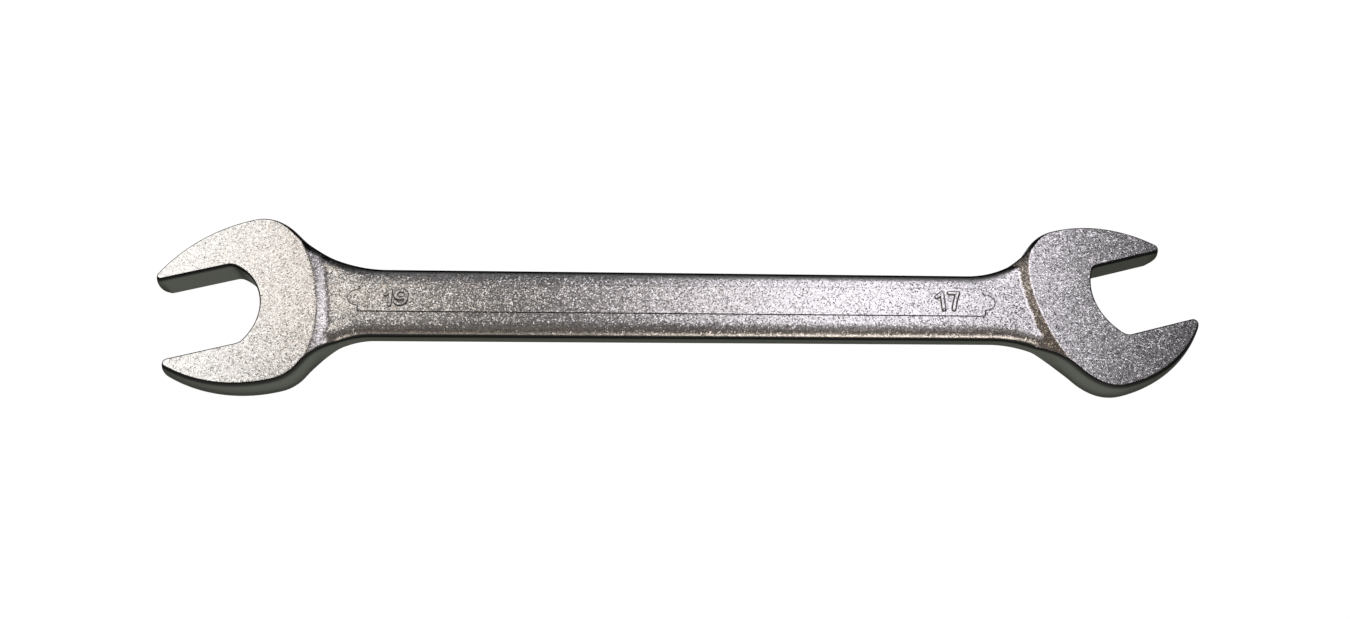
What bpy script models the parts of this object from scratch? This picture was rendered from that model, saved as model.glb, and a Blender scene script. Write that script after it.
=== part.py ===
"""Open end wrench for 19 and 17 mm hexagons, drop forged in one piece, in metres with +Z up.

The forging is modelled as three regions, which meet face to face on two planes across its shank:
head_19, shank and head_17. The shank runs along X, the 17 mm head is at +X, and the tool lies flat.
Each head has a jaw frame: its origin is where the jaw axis crosses the shank's axis, u points out of
the opening along the jaw axis, and v points across it. A head is symmetric about its jaw axis.
"""

import math
from collections import namedtuple

import bmesh
import bpy
from mathutils import Vector

# Whole tool
JAW_ANGLE = math.radians(15)
JAW_CENTRE_DISTANCE = 0.1775
HEAD_THICKNESS = 0.0068
RIM_RADIUS = 0.0004
WALL_LEAN = math.radians(28)

# Shank: a flat face on each side, rounded shoulders and an upright edge that grows up the necks
SHANK_THICKNESS = 0.0054
SHANK_WIDTH_19 = 0.0160
SHANK_WIDTH_17 = 0.0153
SHANK_EDGE_HEIGHT = 0.0028
SHOULDER_RADIUS = 0.0042

# 19 mm head
OPENING_19 = 0.0190
HEAD_WIDTH_19 = 0.0394
TIP_REACH_19 = 0.02075
BACK_REACH_19 = 0.01144
WIDEST_BEHIND_CENTRE_19 = 0.0005
NOSE_RADIUS_19 = 0.0010
THROAT_AHEAD_OF_CENTRE_19 = 0.0002
THROAT_RISE_19 = 0.0050
THROAT_CORNER_RADIUS_19 = 0.0026
STEEP_NECK_RADIUS_19 = 0.0165
LONG_NECK_RADIUS_19 = 0.0310
NECK_EDGE_HEIGHT_19 = 0.0042
COVE_WIDTH_19 = 0.0022

# 17 mm head
OPENING_17 = 0.0170
HEAD_WIDTH_17 = 0.0382
TIP_REACH_17 = 0.02005
BACK_REACH_17 = 0.01172
WIDEST_BEHIND_CENTRE_17 = 0.0007
NOSE_RADIUS_17 = 0.0010
THROAT_AHEAD_OF_CENTRE_17 = 0.0008
THROAT_RISE_17 = 0.0032
THROAT_CORNER_RADIUS_17 = 0.0020
STEEP_NECK_RADIUS_17 = 0.0200
LONG_NECK_RADIUS_17 = 0.0230
NECK_EDGE_HEIGHT_17 = 0.0026
COVE_WIDTH_17 = 0.0016

# A head's back is squarer than an ellipse, whose exponent is 2, and its cove steepens as it falls
BACK_EXPONENT = 2.2
COVE_EXPONENT = 1.15

# The outer wall's bulge grows on this share of a nose and runs out on this share of a neck
NOSE_BULGE_SHARE = 0.34
NECK_BULGE_SHARE = 0.45

# How far down its upright edge a shoulder's helper runs on outside the plan, as a share of half the edge
TAIL_SHARE = 0.5

# Plain shank left on a head's region past its neck, and how far a helper reaches past what it cuts
NECK_MARGIN = 0.0090
OVERRUN = 0.0020

# Steps along each curve
NOSE_STEPS = 6
JAW_STEPS = 14
BACK_STEPS = 40
THROAT_STEPS = 14
CORNER_STEPS = 5
NECK_STEPS = 14
COVE_STEPS = 5
SHOULDER_STEPS = 5
RIM_STEPS = 2
WALL_STEPS = 2
BISECTIONS = 40
SHARP_ANGLE = math.radians(28)

CHROME_COLOUR = (0.56, 0.55, 0.56, 1.0)
CHROME_ROUGHNESS = 0.34

Head = namedtuple(
    "Head",
    "side opening width reach back widest nose throat rise corner steep_neck long_neck neck_edge cove",
)
HEAD_19 = Head(
    side=-1,
    opening=OPENING_19,
    width=HEAD_WIDTH_19,
    reach=TIP_REACH_19,
    back=BACK_REACH_19,
    widest=-WIDEST_BEHIND_CENTRE_19,
    nose=NOSE_RADIUS_19,
    throat=THROAT_AHEAD_OF_CENTRE_19,
    rise=THROAT_RISE_19,
    corner=THROAT_CORNER_RADIUS_19,
    steep_neck=STEEP_NECK_RADIUS_19,
    long_neck=LONG_NECK_RADIUS_19,
    neck_edge=NECK_EDGE_HEIGHT_19,
    cove=COVE_WIDTH_19,
)
HEAD_17 = Head(
    side=1,
    opening=OPENING_17,
    width=HEAD_WIDTH_17,
    reach=TIP_REACH_17,
    back=BACK_REACH_17,
    widest=-WIDEST_BEHIND_CENTRE_17,
    nose=NOSE_RADIUS_17,
    throat=THROAT_AHEAD_OF_CENTRE_17,
    rise=THROAT_RISE_17,
    corner=THROAT_CORNER_RADIUS_17,
    steep_neck=STEEP_NECK_RADIUS_17,
    long_neck=LONG_NECK_RADIUS_17,
    neck_edge=NECK_EDGE_HEIGHT_17,
    cove=COVE_WIDTH_17,
)


def clear_scene():
    for old in list(bpy.data.objects):
        bpy.data.objects.remove(old, do_unlink=True)


# Plan curves


def arc(centre, radius, start, end, steps):
    """Points from one angle to another about a centre, both ends included."""
    turns = [start + (end - start) * step / steps for step in range(steps + 1)]
    return [centre + radius * Vector((math.cos(turn), math.sin(turn))) for turn in turns]


def angle_of(direction):
    return math.atan2(direction.y, direction.x)


def mirrored(points):
    """The same points across the jaw axis, in the opposite order."""
    return [Vector((point.x, -point.y)) for point in reversed(points)]


def outer_half(head):
    """From a jaw flat's end round the nose, along the jaw's back and to the middle of the head's back."""
    half_width = head.width / 2
    nose = Vector((head.reach - head.nose, head.opening / 2 + head.nose))
    along = nose.x - head.widest
    across = half_width - nose.y
    jaw_radius = (along**2 + across**2 - head.nose**2) / (2 * (across - head.nose))
    jaw = Vector((head.widest, half_width - jaw_radius))
    joint = angle_of(nose - jaw)
    nose_run = arc(nose, head.nose, -math.pi / 2, joint, NOSE_STEPS)
    jaw_run = arc(jaw, jaw_radius, joint, math.pi / 2, JAW_STEPS)
    back_run = []
    for step in range(1, BACK_STEPS + 1):
        turn = math.pi / 2 * step / BACK_STEPS
        depth = (head.back + head.widest) * math.sin(turn) ** (2 / BACK_EXPONENT)
        spread = half_width * max(math.cos(turn), 0) ** (2 / BACK_EXPONENT)
        back_run.append(Vector((head.widest - depth, spread)))
    return nose_run + jaw_run[1:] + back_run


def opening_half(head):
    """From the middle of the throat round its corner to the flat, whose far end the nose already has."""
    half_opening = head.opening / 2
    throat_radius = (half_opening**2 + head.rise**2) / (2 * head.rise)
    throat = Vector((head.throat + throat_radius, 0))
    drop = half_opening - head.corner
    run = math.sqrt((throat_radius - head.corner) ** 2 - drop**2)
    corner = Vector((throat.x - run, drop))
    joint = angle_of(corner - throat)
    throat_run = arc(throat, throat_radius, math.pi, joint, THROAT_STEPS)
    corner_run = arc(corner, head.corner, joint, math.pi / 2, CORNER_STEPS)
    return throat_run + corner_run[1:]


def in_plan(head, points):
    """Jaw frame points turned and moved to the plan of the whole tool."""
    turn = JAW_ANGLE if head.side > 0 else JAW_ANGLE + math.pi
    along = Vector((math.cos(turn), math.sin(turn)))
    across = Vector((-along.y, along.x))
    centre = Vector((head.side * JAW_CENTRE_DISTANCE / 2, 0))
    return [centre + point.x * along + point.y * across for point in points]


def shank_edge(x, side):
    """The point at x on the shank's upper or lower edge, and the edge's direction outwards."""
    slope = (SHANK_WIDTH_17 - SHANK_WIDTH_19) / 2 / JAW_CENTRE_DISTANCE
    half_width = (SHANK_WIDTH_19 + SHANK_WIDTH_17) / 4 + slope * x
    return Vector((x, side * half_width)), Vector((-slope, side)).normalized()


def neck_arc(outline, side, radius, start_x):
    """The fillet that touches the shank's edge and a head's outline, from the head to the shank."""
    near, far = start_x, 0.0
    for _ in range(BISECTIONS):
        middle = (near + far) / 2
        foot, outwards = shank_edge(middle, side)
        centre = foot + radius * outwards
        if min((point - centre).length for point in outline) < radius:
            near = middle
        else:
            far = middle
    touch = min(outline, key=lambda point: (point - centre).length)
    start = angle_of(touch - centre)
    end = angle_of(-outwards)
    turn = (end - start + math.pi) % (2 * math.pi) - math.pi
    return arc(centre, radius, start, start + turn, NECK_STEPS)


def head_runs(head):
    """A head's outline in three runs: nose to steep neck, back, and long neck round to the opening."""
    upper = outer_half(head)
    outer = in_plan(head, upper + mirrored(upper)[1:])
    inner_half = opening_half(head)
    inner = in_plan(head, mirrored(inner_half)[:-1] + inner_half)
    start_x = head.side * JAW_CENTRE_DISTANCE / 2
    steep = neck_arc(outer, head.side, head.steep_neck, start_x)
    long = neck_arc(outer, -head.side, head.long_neck, start_x)
    first = min(range(len(outer)), key=lambda i: (outer[i] - steep[0]).length)
    last = min(range(len(outer)), key=lambda i: (outer[i] - long[0]).length)
    before = outer[:first]
    back = outer[first : last + 1]
    after = outer[last + 1 :]
    return before, steep, back, list(reversed(long)), after + inner


def all_round(runs_19, runs_17):
    """What each run holds, in the order that goes anticlockwise round the whole tool."""
    before_19, steep_19, _, long_19, after_19 = runs_19
    before_17, steep_17, _, long_17, after_17 = runs_17
    return before_17 + steep_17 + long_19 + after_19 + before_19 + steep_19 + long_17 + after_17


def smooth_share(share):
    return share * share * (3 - 2 * share)


def wall_leans(runs):
    """The outer wall's lean at the face for each point of a head's runs: none in the opening or on the shank."""
    before, _, _, _, after = runs
    opening_points = 2 * (THROAT_STEPS + CORNER_STEPS) + 1
    nose_points = NOSE_STEPS * NOSE_BULGE_SHARE
    neck_points = NECK_STEPS * NECK_BULGE_SHARE
    onto_nose = [min(i / nose_points, 1) * WALL_LEAN for i in range(len(before))]
    off_nose = [min(i / nose_points, 1) * WALL_LEAN for i in range(len(after) - opening_points)]
    down_neck = [smooth_share(max(1 - i / neck_points, 0)) * WALL_LEAN for i in range(NECK_STEPS + 1)]
    return onto_nose, down_neck, None, down_neck[::-1], off_nose[::-1] + [0.0] * opening_points


# Solids


def outward(points, closed=True):
    """Each point's direction out of a loop that runs anticlockwise, lengthened at a corner."""
    count = len(points)
    found = []
    for i, point in enumerate(points):
        before = points[i - 1] if closed or i else None
        after = points[(i + 1) % count] if closed or i + 1 < count else None
        sides = []
        if before is not None:
            sides.append((point - before).normalized())
        if after is not None:
            sides.append((after - point).normalized())
        normals = [Vector((side.y, -side.x)) for side in sides]
        middle = sum(normals, Vector((0, 0))).normalized()
        found.append(middle / middle.dot(normals[0]))
    return found


def loft(name, rings):
    """A closed solid through rings that have as many points each, from the highest to the lowest."""
    build = bmesh.new()
    levels = [[build.verts.new(point) for point in ring] for ring in rings]
    for upper, lower in zip(levels, levels[1:]):
        for i in range(len(upper)):
            build.faces.new((upper[i - 1], lower[i - 1], lower[i], upper[i]))
    build.faces.new(levels[0])
    build.faces.new(list(reversed(levels[-1])))
    bmesh.ops.recalc_face_normals(build, faces=build.faces)
    mesh = bpy.data.meshes.new(name)
    build.to_mesh(mesh)
    build.free()
    helper = bpy.data.objects.new(name, mesh)
    bpy.context.scene.collection.objects.link(helper)
    helper.display_type = "WIRE"
    helper.hide_render = True
    return helper


def both_faces(upper_rings):
    """Rings from the top down to the edge, followed by the same rings below the middle plane."""
    lower_rings = [[Vector((p.x, p.y, -p.z)) for p in ring] for ring in reversed(upper_rings)]
    return upper_rings + lower_rings


def wall_section(lean):
    """From the face round the rim and down the bulging wall: how far out of the plan, and how high."""
    section = []
    for step in range(RIM_STEPS + 1):
        turn = (math.pi / 2 - lean) * step / RIM_STEPS
        height = HEAD_THICKNESS / 2 - RIM_RADIUS * (1 - math.cos(turn))
        section.append((RIM_RADIUS * (math.sin(turn) - 1), height))
    reach, height = section[-1]
    for step in range(1, WALL_STEPS + 1):
        share = 1 - step / (WALL_STEPS + 1)
        if lean:
            bulge = height / math.sin(lean) * (math.cos(lean * share) - math.cos(lean))
            section.append((reach + bulge, height * math.sin(lean * share) / math.sin(lean)))
        else:
            section.append((reach, height * share))
    return section


def outline_solid(outline, leans):
    """The whole plan at head thickness, with its rims rounded and its outer walls bulging."""
    sections = [wall_section(lean) for lean in leans]
    normals = outward(outline)
    rings = []
    for level in range(len(sections[0])):
        ring = []
        for point, normal, section in zip(outline, normals, sections):
            reach, height = section[level]
            place = point + reach * normal
            ring.append(Vector((place.x, place.y, height)))
        rings.append(ring)
    return loft("outline_helper", both_faces(rings))


def edge_heights(head):
    """Height of the shank's upright edge at each point of a neck, from the head to the shank."""
    heights = []
    for step in range(NECK_STEPS + 1):
        share = smooth_share(step / NECK_STEPS)
        heights.append(head.neck_edge + (SHANK_EDGE_HEIGHT - head.neck_edge) * share)
    return heights


def shank_solid(runs_19, runs_17):
    """The shank and both necks, whose shoulders run past the outline so that it can trim them."""
    heights_19 = edge_heights(HEAD_19)
    heights_17 = edge_heights(HEAD_17)
    necks = (
        (runs_17[1], heights_17),
        (runs_19[3], heights_19[::-1]),
        (runs_19[1], heights_19),
        (runs_17[3], heights_17[::-1]),
    )
    points = []
    directions = []
    edges = []
    for run, run_heights in necks:
        points += run
        edges += run_heights
    for first, second in ((0, 2), (2, 4)):
        run = [point for neck, _ in necks[first:second] for point in neck]
        directions += outward(run, closed=False)
    rings = [[] for _ in range(SHOULDER_STEPS + 2)]
    half_thickness = SHANK_THICKNESS / 2
    for point, direction, edge in zip(points, directions, edges):
        fall = half_thickness - edge / 2
        full_turn = math.acos(1 - fall / SHOULDER_RADIUS)
        width = SHOULDER_RADIUS * math.sin(full_turn)
        for step in range(SHOULDER_STEPS + 1):
            turn = full_turn * step / SHOULDER_STEPS
            inset = width - SHOULDER_RADIUS * math.sin(turn)
            height = half_thickness - SHOULDER_RADIUS * (1 - math.cos(turn))
            place = point - inset * direction
            rings[step].append(Vector((place.x, place.y, height)))
        tail = edge / 2 * TAIL_SHARE
        place = point + tail / math.tan(full_turn) * direction
        rings[-1].append(Vector((place.x, place.y, edge / 2 - tail)))
    return loft("shank_helper", both_faces(rings))


def head_solid(head, runs):
    """A head's full thickness with the cove that falls from its back to the shank."""
    before, _, back, _, after = runs
    upper = outer_half(head)
    outer = in_plan(head, upper + mirrored(upper)[1:])
    directions = outward(outer, closed=False)
    first = len(before)
    last = first + len(back) - 1
    rise = (HEAD_THICKNESS - SHANK_THICKNESS) / 2
    fall = (HEAD_THICKNESS - SHANK_EDGE_HEIGHT) / 2
    steps = [(0.0, HEAD_THICKNESS / 2 + OVERRUN)]
    for step in range(COVE_STEPS + 1):
        depth = fall * step / COVE_STEPS
        spread = head.cove * (depth / rise) ** (1 / COVE_EXPONENT)
        steps.append((spread, HEAD_THICKNESS / 2 - depth))
    clear = steps[-1][0] + OVERRUN
    rings = []
    for spread, height in steps:
        ring = []
        for i, (point, direction) in enumerate(zip(outer, directions)):
            reach = spread if first < i < last else clear
            place = point + reach * direction
            ring.append(Vector((place.x, place.y, height)))
        rings.append(ring)
    return loft("head_helper", both_faces(rings))


def region_box(name, start_x, end_x, half_width):
    """A block across the whole tool between two planes."""
    half_height = HEAD_THICKNESS / 2 + OVERRUN
    plan = ((start_x, -half_width), (end_x, -half_width), (end_x, half_width), (start_x, half_width))
    rings = [[Vector((x, y, z)) for x, y in plan] for z in (half_height, -half_height)]
    return loft(name, rings)


def combine(target, other, operation):
    modifier = target.modifiers.new(other.name, "BOOLEAN")
    modifier.operation = operation
    modifier.solver = "EXACT"
    modifier.object = other


def evaluated_copy(source, name):
    """A new object with the mesh that the source's modifiers give."""
    graph = bpy.context.evaluated_depsgraph_get()
    mesh = bpy.data.meshes.new_from_object(source.evaluated_get(graph))
    mesh.name = name
    mesh.shade_smooth()
    mesh.set_sharp_from_angle(angle=SHARP_ANGLE)
    made = bpy.data.objects.new(name, mesh)
    bpy.context.scene.collection.objects.link(made)
    return made


def chrome(name):
    """Satin chrome plate."""
    material = bpy.data.materials.new(name)
    material.use_nodes = True
    shader = material.node_tree.nodes["Principled BSDF"]
    shader.inputs["Base Color"].default_value = CHROME_COLOUR
    shader.inputs["Roughness"].default_value = CHROME_ROUGHNESS
    shader.inputs["Metallic"].default_value = 1.0
    material.diffuse_color = CHROME_COLOUR
    return material


def neck_end(head, runs):
    """Where a head's region ends on the shank's axis."""
    ends = (runs[1][-1].x, runs[3][0].x)
    return min(head.side * x for x in ends) * head.side - head.side * NECK_MARGIN


def build_wrench():
    clear_scene()
    runs_19 = head_runs(HEAD_19)
    runs_17 = head_runs(HEAD_17)
    outline = all_round(runs_19, runs_17)
    leans = all_round(wall_leans(runs_19), wall_leans(runs_17))
    low_x, high_x = min(p.x for p in outline), max(p.x for p in outline)
    low_y, high_y = min(p.y for p in outline), max(p.y for p in outline)

    plan = outline_solid(outline, leans)
    crown = shank_solid(runs_19, runs_17)
    combine(crown, head_solid(HEAD_19, runs_19), "UNION")
    combine(crown, head_solid(HEAD_17, runs_17), "UNION")
    combine(crown, plan, "INTERSECT")

    wrench = bpy.data.objects.new("open_end_wrench", None)
    wrench.location = (-(low_x + high_x) / 2, -(low_y + high_y) / 2, HEAD_THICKNESS / 2)
    bpy.context.scene.collection.objects.link(wrench)
    split_19 = neck_end(HEAD_19, runs_19)
    split_17 = neck_end(HEAD_17, runs_17)
    half_width = max(-low_y, high_y) + OVERRUN
    regions = (
        ("head_19", low_x - OVERRUN, split_19),
        ("shank", split_19, split_17),
        ("head_17", split_17, high_x + OVERRUN),
    )
    for name, start_x, end_x in regions:
        region = region_box(name + "_region", start_x, end_x, half_width)
        combine(region, crown, "INTERSECT")
        node = evaluated_copy(region, name)
        node.data.materials.clear()
        node.data.materials.append(chrome(name + "_chrome"))
        node.parent = wrench


build_wrench()
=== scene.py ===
"""Looks of the open end wrench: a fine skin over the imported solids, its satin chrome, light and camera.

Plan shapes repeat the source's named sizes, in metres. The plan frame has its origin midway between
the two jaw centres, as in the source, and a plan's `offset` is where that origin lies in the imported
frame. The skin is one height field for each face, joined round the edge by a rounded and bulging wall.
It is cut on the nodes' own planes, so that each node has its piece.
"""

import math
from collections import namedtuple

import bmesh
import bpy
import numpy as np
from mathutils import Matrix, Vector
from mathutils.geometry import delaunay_2d_cdt
from mathutils.kdtree import KDTree

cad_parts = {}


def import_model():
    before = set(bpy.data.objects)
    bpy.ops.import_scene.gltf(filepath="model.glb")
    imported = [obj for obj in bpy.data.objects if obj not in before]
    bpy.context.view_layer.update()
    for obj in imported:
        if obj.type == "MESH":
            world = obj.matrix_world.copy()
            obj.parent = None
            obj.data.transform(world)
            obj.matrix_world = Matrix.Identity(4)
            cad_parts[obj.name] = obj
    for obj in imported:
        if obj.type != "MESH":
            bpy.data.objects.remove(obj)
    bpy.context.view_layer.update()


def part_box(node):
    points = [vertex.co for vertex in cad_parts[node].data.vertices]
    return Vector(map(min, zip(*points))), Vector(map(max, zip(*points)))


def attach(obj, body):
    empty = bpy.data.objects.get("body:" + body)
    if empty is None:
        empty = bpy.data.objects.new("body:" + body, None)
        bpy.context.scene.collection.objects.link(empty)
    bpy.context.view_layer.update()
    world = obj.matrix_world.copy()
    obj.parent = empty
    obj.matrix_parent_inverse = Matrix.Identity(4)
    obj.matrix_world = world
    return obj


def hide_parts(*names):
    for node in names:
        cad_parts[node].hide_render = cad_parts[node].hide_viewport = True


# Whole tool, and how far the heads' bulging walls lean in at their rims
JAW_ANGLE = math.radians(15)
JAW_CENTRE_DISTANCE = 0.1775
HEAD_THICKNESS = 0.0068
WALL_LEAN = math.radians(28)

# The rim's radius round a level face, and at a ridge, where the face falls to its edge by this slope
RIM_RADIUS = 0.0004
RIDGE_RADIUS = 0.0005
RIDGE_SLOPE = math.radians(45)

# Shank, and the most of the shoulder's radius that a shoulder takes up
SHANK_THICKNESS = 0.0054
SHANK_WIDTH_19 = 0.0160
SHANK_WIDTH_17 = 0.0153
SHANK_EDGE_HEIGHT = 0.0028
SHOULDER_RADIUS = 0.0042
SHOULDER_SHARE = 0.98

# Slight fall of the shank's face outside its panel, and how far out it starts to fade and is gone
CROWN_SLOPE = 0.048
CROWN_FADE_START = 0.0022
CROWN_FADE_END = 0.0052

# How square the heads' backs are, and how the coves fall from their crest to their foot
BACK_EXPONENT = 2.2
COVE_EXPONENT = 1.15
CREST_ROUND = 0.00026
COVE_FOOT_ROUND = 0.00025

# Shares of a nose and of a neck over which the wall's bulge comes and goes
NOSE_BULGE_SHARE = 0.34
NECK_BULGE_SHARE = 0.45

# Panel outlined by a fine groove on the upper face of the shank, shallower along its upper side
PANEL_LEFT = -0.0682
PANEL_RIGHT = 0.0654
PANEL_LOW = -0.0028
PANEL_HIGH = 0.0038
PANEL_CORNER = 0.0006
TAB_CENTRE = 0.0005
TAB_HALF_HEIGHT = 0.0019
TAB_REACH = 0.0024
GROOVE_DEPTH = 0.00011
GROOVE_UPPER_SHARE = 0.2
GROOVE_HALF_WIDTH = 0.00014

# The box round the middle that holds the groove and the numbers
RELIEF_HALF_LENGTH = PANEL_RIGHT + 3 * TAB_REACH
RELIEF_HALF_WIDTH = 2 * PANEL_HIGH

# Raised size numbers on the panel: a digit's rise, stroke and the width of its slope
DIGIT_RISE = 0.00020
DIGIT_STROKE = 0.0008
DIGIT_SLOPE = 0.00034

# Their places and heights, and how far on the second digit starts as a share of the height
Number = namedtuple("Number", "digits left low height advance")
NUMBERS = (
    Number("19", left=-0.0626, low=-0.00144, height=0.0036, advance=0.53),
    Number("17", left=0.0553, low=-0.00142, height=0.00426, advance=0.62),
)

# Digits, in shares of their height: the one's corners, the seven's bar and curved stem, and the nine's
# bowl and tail, which follow ovals and meet at its right side
Oval = namedtuple("Oval", "x y half_width half_height turn")
ONE_CORNERS = ((0.0, 0.72), (0.29, 0.95), (0.29, 0.04))
SEVEN_BAR = ((0.03, 0.96), (0.48, 0.96))
SEVEN_STEM_RUN = 0.31
SEVEN_STEM_DROP = 0.92
SEVEN_STEM_CURVE = 1.25
NINE_BOWL = Oval(0.38, 0.72, 0.32, 0.26, 2 * math.pi)
NINE_TAIL = Oval(0.38, 0.38, 0.32, 0.28, -0.86 * math.pi)
NINE_SIDE = (0.70, 0.72)

# A head is laid out from its jaw's centre, along its jaw, and its `side` is -1 at the left end of the
# tool and 1 at the right. `reach`, `widest` and `throat` are how far along the jaw the tips, the widest
# place and the bottom of the throat lie, and `back` is how far behind the centre the head ends. `rise`
# is the bulge of the throat's arc. `nose`, `corner`, `steep_neck` and `long_neck` are radii. `neck_edge`
# is the height of the upright edge where the necks start, and `cove` is the run over which the face
# drops to the shank's.
Head = namedtuple(
    "Head",
    "side opening width reach back widest nose throat rise corner steep_neck long_neck neck_edge cove",
)
HEAD_19 = Head(
    side=-1,
    opening=0.0190,
    width=0.0394,
    reach=0.02075,
    back=0.01144,
    widest=-0.0005,
    nose=0.0010,
    throat=0.0002,
    rise=0.0050,
    corner=0.0026,
    steep_neck=0.0165,
    long_neck=0.0310,
    neck_edge=0.0042,
    cove=0.0022,
)
HEAD_17 = Head(
    side=1,
    opening=0.0170,
    width=0.0382,
    reach=0.02005,
    back=0.01172,
    widest=-0.0007,
    nose=0.0010,
    throat=0.0008,
    rise=0.0032,
    corner=0.0020,
    steep_neck=0.0200,
    long_neck=0.0230,
    neck_edge=0.0026,
    cove=0.0016,
)

# Steps along each plan curve, down the rim and the wall, and along the panel's and the digits' lines
NOSE_STEPS = 14
JAW_STEPS = 70
BACK_STEPS = 120
THROAT_STEPS = 50
CORNER_STEPS = 12
NECK_STEPS = 60
FLAT_STEPS = 26
EDGE_STEPS = 220
RIM_STEPS = 5
WALL_STEPS = 6
PANEL_CORNER_STEPS = 5
TAB_STEPS = 16
SEVEN_STEPS = 8
BOWL_STEPS = 24
TAIL_STEPS = 12
BISECTIONS = 40

# Rows of points beside the outline, each with its own spacing and inset as shares of its distance
EDGE_ROWS = (0.0004, 0.0007, 0.0010, 0.0013, 0.0016, 0.0020, 0.0024, 0.0028, 0.0033)
EDGE_FULL_WITHIN = 0.0018
EDGE_SPACING_SHARE = 0.4
EDGE_INSET_SHARE = 0.5

# Rows beside a head's back: full rows near it, then every second point, and closest at the crest
BACK_ROWS = (-0.0005, -0.0003, -0.0002, -0.0001, 0.0, 0.0001, 0.0002, 0.0003, 0.0005, 0.0008)
COVE_ROWS = (0.0011, 0.0014, 0.0017, 0.0020, 0.0023, 0.0026, 0.0030, 0.0036)
BACK_FULL_WITHIN = 0.0009
CREST_WITHIN = 0.0006
CREST_SPACING = 0.00009
COVE_SPACING = 0.0002
COVE_INSET = 0.00012

# Rows beside the panel's line, and the grids over the digits and over what is left open
PANEL_ROW_GAP = 0.00005
PANEL_ROW_COUNT = 7
PANEL_SPACING_SHARE = 0.9
PANEL_STEP = 0.0004
DIGIT_GRID = 0.00010
DIGIT_SPACING_SHARE = 0.7
DIGIT_MARGIN = 0.0006
OPEN_GRID = 0.0011
OPEN_SPACING_SHARE = 0.55
OPEN_INSET = 0.0005

# The face's slope at its edge: measured inwards from this inset over this run, evened out, and capped
EDGE_SLOPE_INSET = 0.00005
EDGE_SLOPE_RUN = 0.0003
EDGE_SLOPE_ROUNDS = 3
EDGE_SLOPE_MOST = math.radians(60)

# Points compared with a line at a time, the small step that gives a normal, and the least wall lean and
# level part of a normal that are divided by
COMPARED_AT_ONCE = 2000
NORMAL_STEP = 0.000002
LEAST_LEAN = 1e-4
LEAST_LEVEL = 1e-6

# The mesher's scale and tolerance, the cuts' tolerance, and how squarely a cut end faces along the tool
MESHING_SCALE = 1000
MESHING_TOLERANCE = 1e-5
CUT_TOLERANCE = 1e-7
CUT_END_FACING = 0.9999

# Turns the upper half's places and normals into the lower half's
UNDERNEATH = (1, 1, -1)

# Tilts at which the flank's finish and painted dark reflection start: round a level face's rim, and at a
# shoulder's ridge
RIM_FLANK_START = math.radians(12)
RIDGE_FLANK_START = math.radians(35.5)
FLANK_SPAN = math.radians(7)

# Painted dark reflection on a wall's upper part: how far below the rim it is still full, and how far
# below it ends
UPPER_WALL_FULL = 0.00035
UPPER_WALL_END = 0.00135

# The painted dark reflection along the back edge: how near the edge it starts and is full, the tilts that
# it needs, and the tilts over which it ends again on the wall
BACK_START = 0.0019
BACK_FULL = 0.0011
BACK_TILT_START = math.radians(5)
BACK_TILT_FULL = math.radians(12)
BACK_WALL_START = math.radians(65)
BACK_WALL_FULL = math.radians(85)

# Tilts at which the front shoulder's painted reflection and the cove's painted shade start and are full
FRONT_REFLECTION_START = math.radians(3)
FRONT_REFLECTION_FULL = math.radians(24)
SHADE_START = math.radians(7)
SHADE_FULL = math.radians(15)

# How much a surface faces back or front for the full painted dark or brownish reflection, and left for
# the painted shade
FACING_FULL = 0.5
LEFT_FACING_START = 0.6
LEFT_FACING_FULL = 0.95

# Tilts at which the painted shade along the groove and on the digits' slopes starts and is full
LINE_START = math.radians(8)
LINE_FULL = math.radians(28)

# The shank's rougher finish: how far beyond a head's back it starts and is full, and the tilts on the
# shoulders up to which it is full and at which it has ended
FORGED_START = 0.0012
FORGED_FULL = 0.0035
SMOOTH_START = math.radians(20)
SMOOTH_FULL = math.radians(32)

# Blasted finish: size of its facets, how far they lean, and how dark and light they are
FACET_SIZE = 0.00024
HEAD_FACET_LEAN = 1.0
SHANK_FACET_LEAN = 1.75
FLANK_FACET_LEAN = 0.4
HEAD_SPECKS = (0.68, 1.27)
SHANK_SPECKS = (0.77, 1.18)

# Roughness, the tint of grazing reflections, and the faces' tone with each zone's tone in the order that
# they lie over it. The zones are painted light: a brownish reflection on the front shoulder, shade in the
# cove and along the groove and digits, and dark reflections on the flanks, the back edge and the walls'
# tops
FACE_ROUGHNESS = 0.276
FLANK_ROUGHNESS = 0.36
EDGE_TINT = (0.3, 0.3, 0.3, 1.0)
FACE_TONE = (0.80, 0.785, 0.80)
ZONE_TONES = (
    # The front shoulder's brownish darkening is a painted reflection of what stands in front of the tool
    ("painted_front_reflection", "MULTIPLY", (0.80, 0.73, 0.66, 1.0)),
    ("shade", "MULTIPLY", (0.80, 0.74, 0.68, 1.0)),
    ("line", "MULTIPLY", (0.42, 0.40, 0.42, 1.0)),
    ("flank", "MIX", (0.105, 0.110, 0.095, 1.0)),
    ("dark", "MIX", (0.018, 0.018, 0.017, 1.0)),
)

# Floor: its paper, the share of its own white that is seen, and how bright that is
FLOOR_HALF_WIDTH = 6.0
FLOOR_PAPER = (0.9, 0.9, 0.9, 1.0)
FLOOR_WHITE_SHARE = 0.88
FLOOR_WHITE = 1.12

# World: white low down and dim overhead, where the one gives way to the other, and how much higher
# that is in front of the tool
WORLD_WHITE = (1.0, 1.0, 1.0, 1.0)
WORLD_ZENITH = 0.033
WORLD_CLIMB_START = 0.28
WORLD_CLIMB_END = 0.46
WORLD_FRONT_TILT = 0.1

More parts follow.
